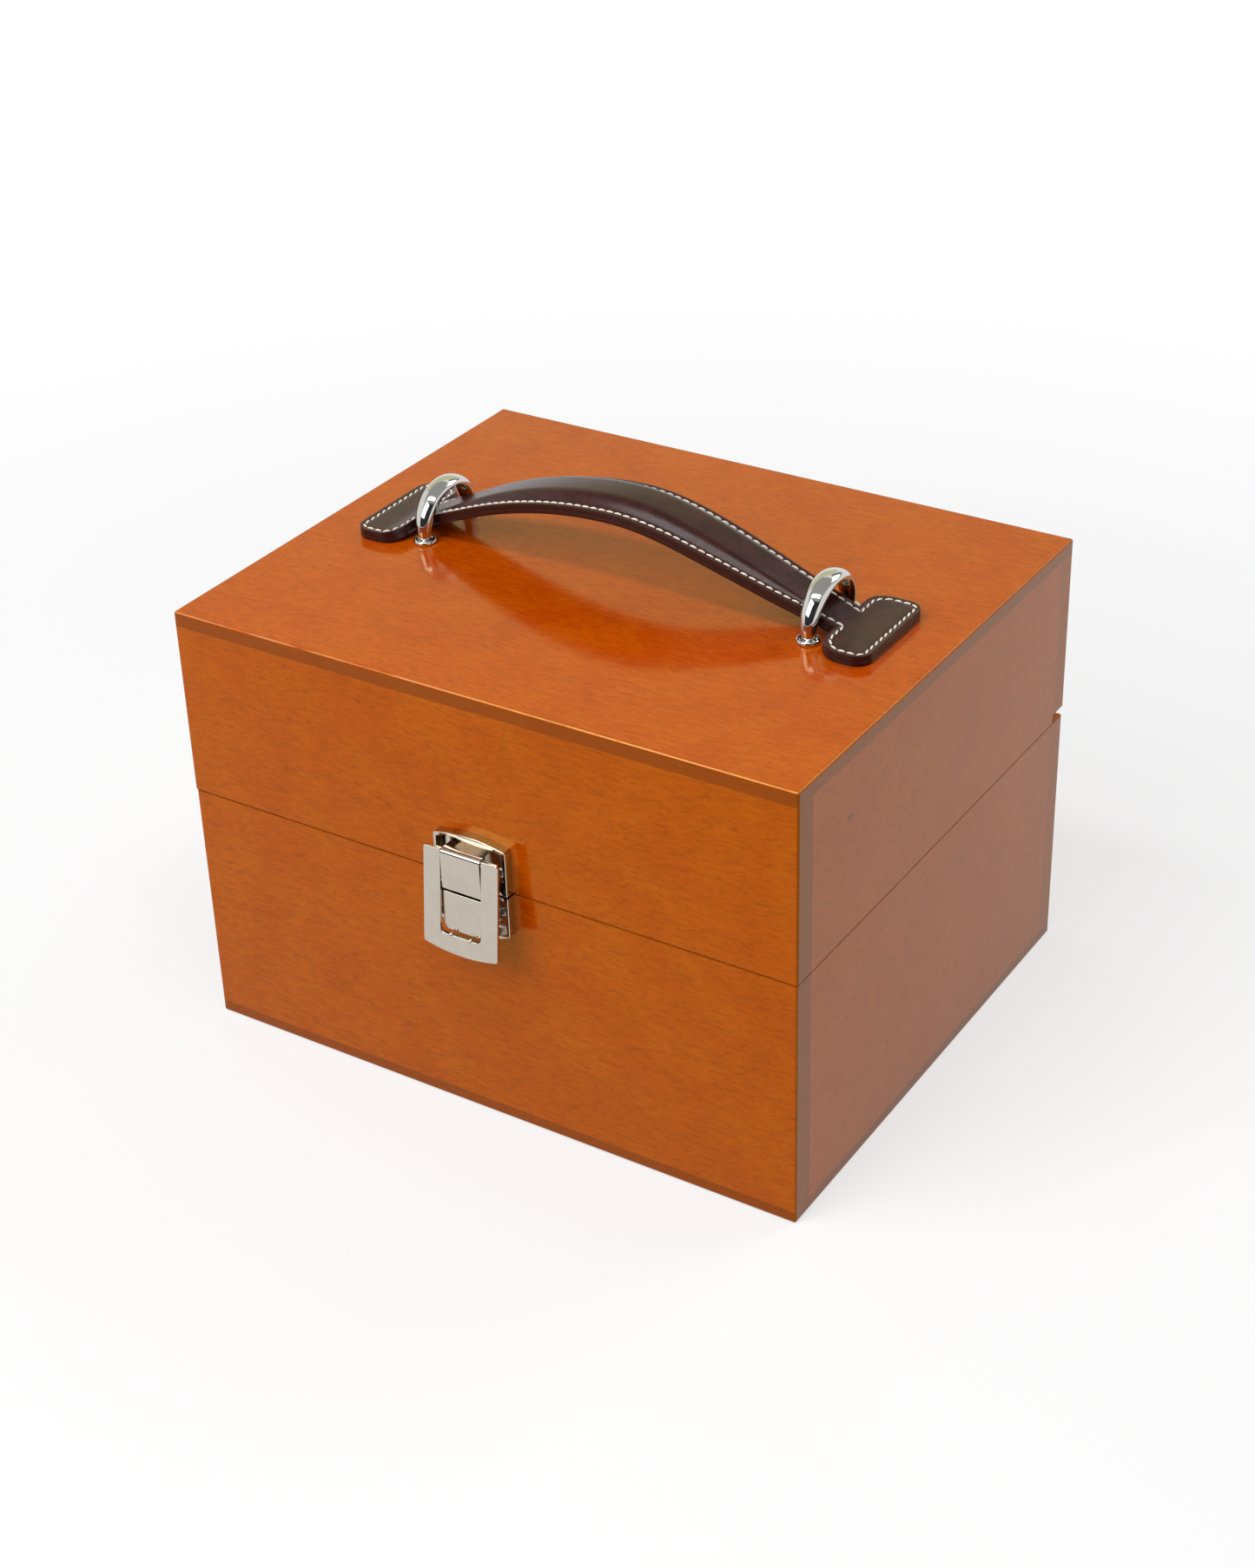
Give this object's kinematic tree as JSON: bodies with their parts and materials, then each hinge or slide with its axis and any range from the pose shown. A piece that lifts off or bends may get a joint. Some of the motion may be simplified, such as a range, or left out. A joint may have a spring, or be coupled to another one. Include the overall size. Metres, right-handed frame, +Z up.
{
  "type": "jewellery case",
  "caption": "Hinged lacquered wooden jewellery case with a box lid, a padded leather carrying handle held in metal loops, and a snap hasp at the front.",
  "frame": {"origin": "centre of the wooden underside, on the surface that the case stands on", "axes": "+X to the right as seen from the hasp side, +Y to the hinged back, +Z up"},
  "size_m": [0.265, 0.2306, 0.2182],
  "materials": {
    "lacquered_wood": "glossy clear lacquer over orange-brown wood",
    "lacquered_panel": "glossy clear lacquer over orange-brown wood",
    "leather": "smooth dark brown with a soft sheen",
    "handle_padding": "felt filler",
    "chrome": "polished",
    "nickel": "satin nickel plate",
    "hinge_metal": "nickel plate",
    "screw_metal": "nickel plate",
    "felt": "matt felt",
    "thread": "waxed cream saddle-stitching thread"
  },
  "bodies": {
    "base": {"base_front_board": "lacquered_wood", "base_back_board": "lacquered_wood", "base_left_board": "lacquered_wood", "base_right_board": "lacquered_wood", "bottom_panel": "lacquered_panel", "floor_lining": "felt", "hinge_left_base_leaf": "hinge_metal", "hinge_right_base_leaf": "hinge_metal", "hinge_left_pin": "hinge_metal", "hinge_right_pin": "hinge_metal", "hinge_base_screws": "screw_metal", "catch_plate": "nickel", "catch_plate_screws": "screw_metal"},
    "lid": {"lid_top_panel": "lacquered_panel", "lid_front_board": "lacquered_wood", "lid_back_board": "lacquered_wood", "lid_left_board": "lacquered_wood", "lid_right_board": "lacquered_wood", "hinge_left_lid_leaf": "hinge_metal", "hinge_right_lid_leaf": "hinge_metal", "hinge_lid_screws": "screw_metal", "hasp_plate": "nickel", "hasp_plate_screws": "screw_metal", "flap_hinge_pin": "nickel", "left_handle_loop": "chrome", "right_handle_loop": "chrome", "handle_loop_screws": "screw_metal", "handle_loop_washers": "screw_metal"},
    "latch_flap": {"latch_flap": "nickel"},
    "handle": {"handle_upper_leather": "leather", "handle_lower_leather": "leather", "handle_core": "handle_padding"}
  },
  "joints": [
    {"name": "lid_hinge", "type": "hinge", "parent": "base", "child": "lid", "pos_m": [0, 0.1069, 0.1062], "axis": [-1, 0, 0], "range_deg": [0, 95]},
    {"name": "latch_flap_hinge", "type": "hinge", "parent": "lid", "child": "latch_flap", "pos_m": [0, -0.1165, 0.1193], "axis": [-1, 0, 0], "range_deg": [-5.5, 165]},
    {"name": "handle_lift", "type": "slide", "parent": "lid", "child": "handle", "axis": [0, 0, 1], "range_m": [0, 0.0018]}
  ]
}
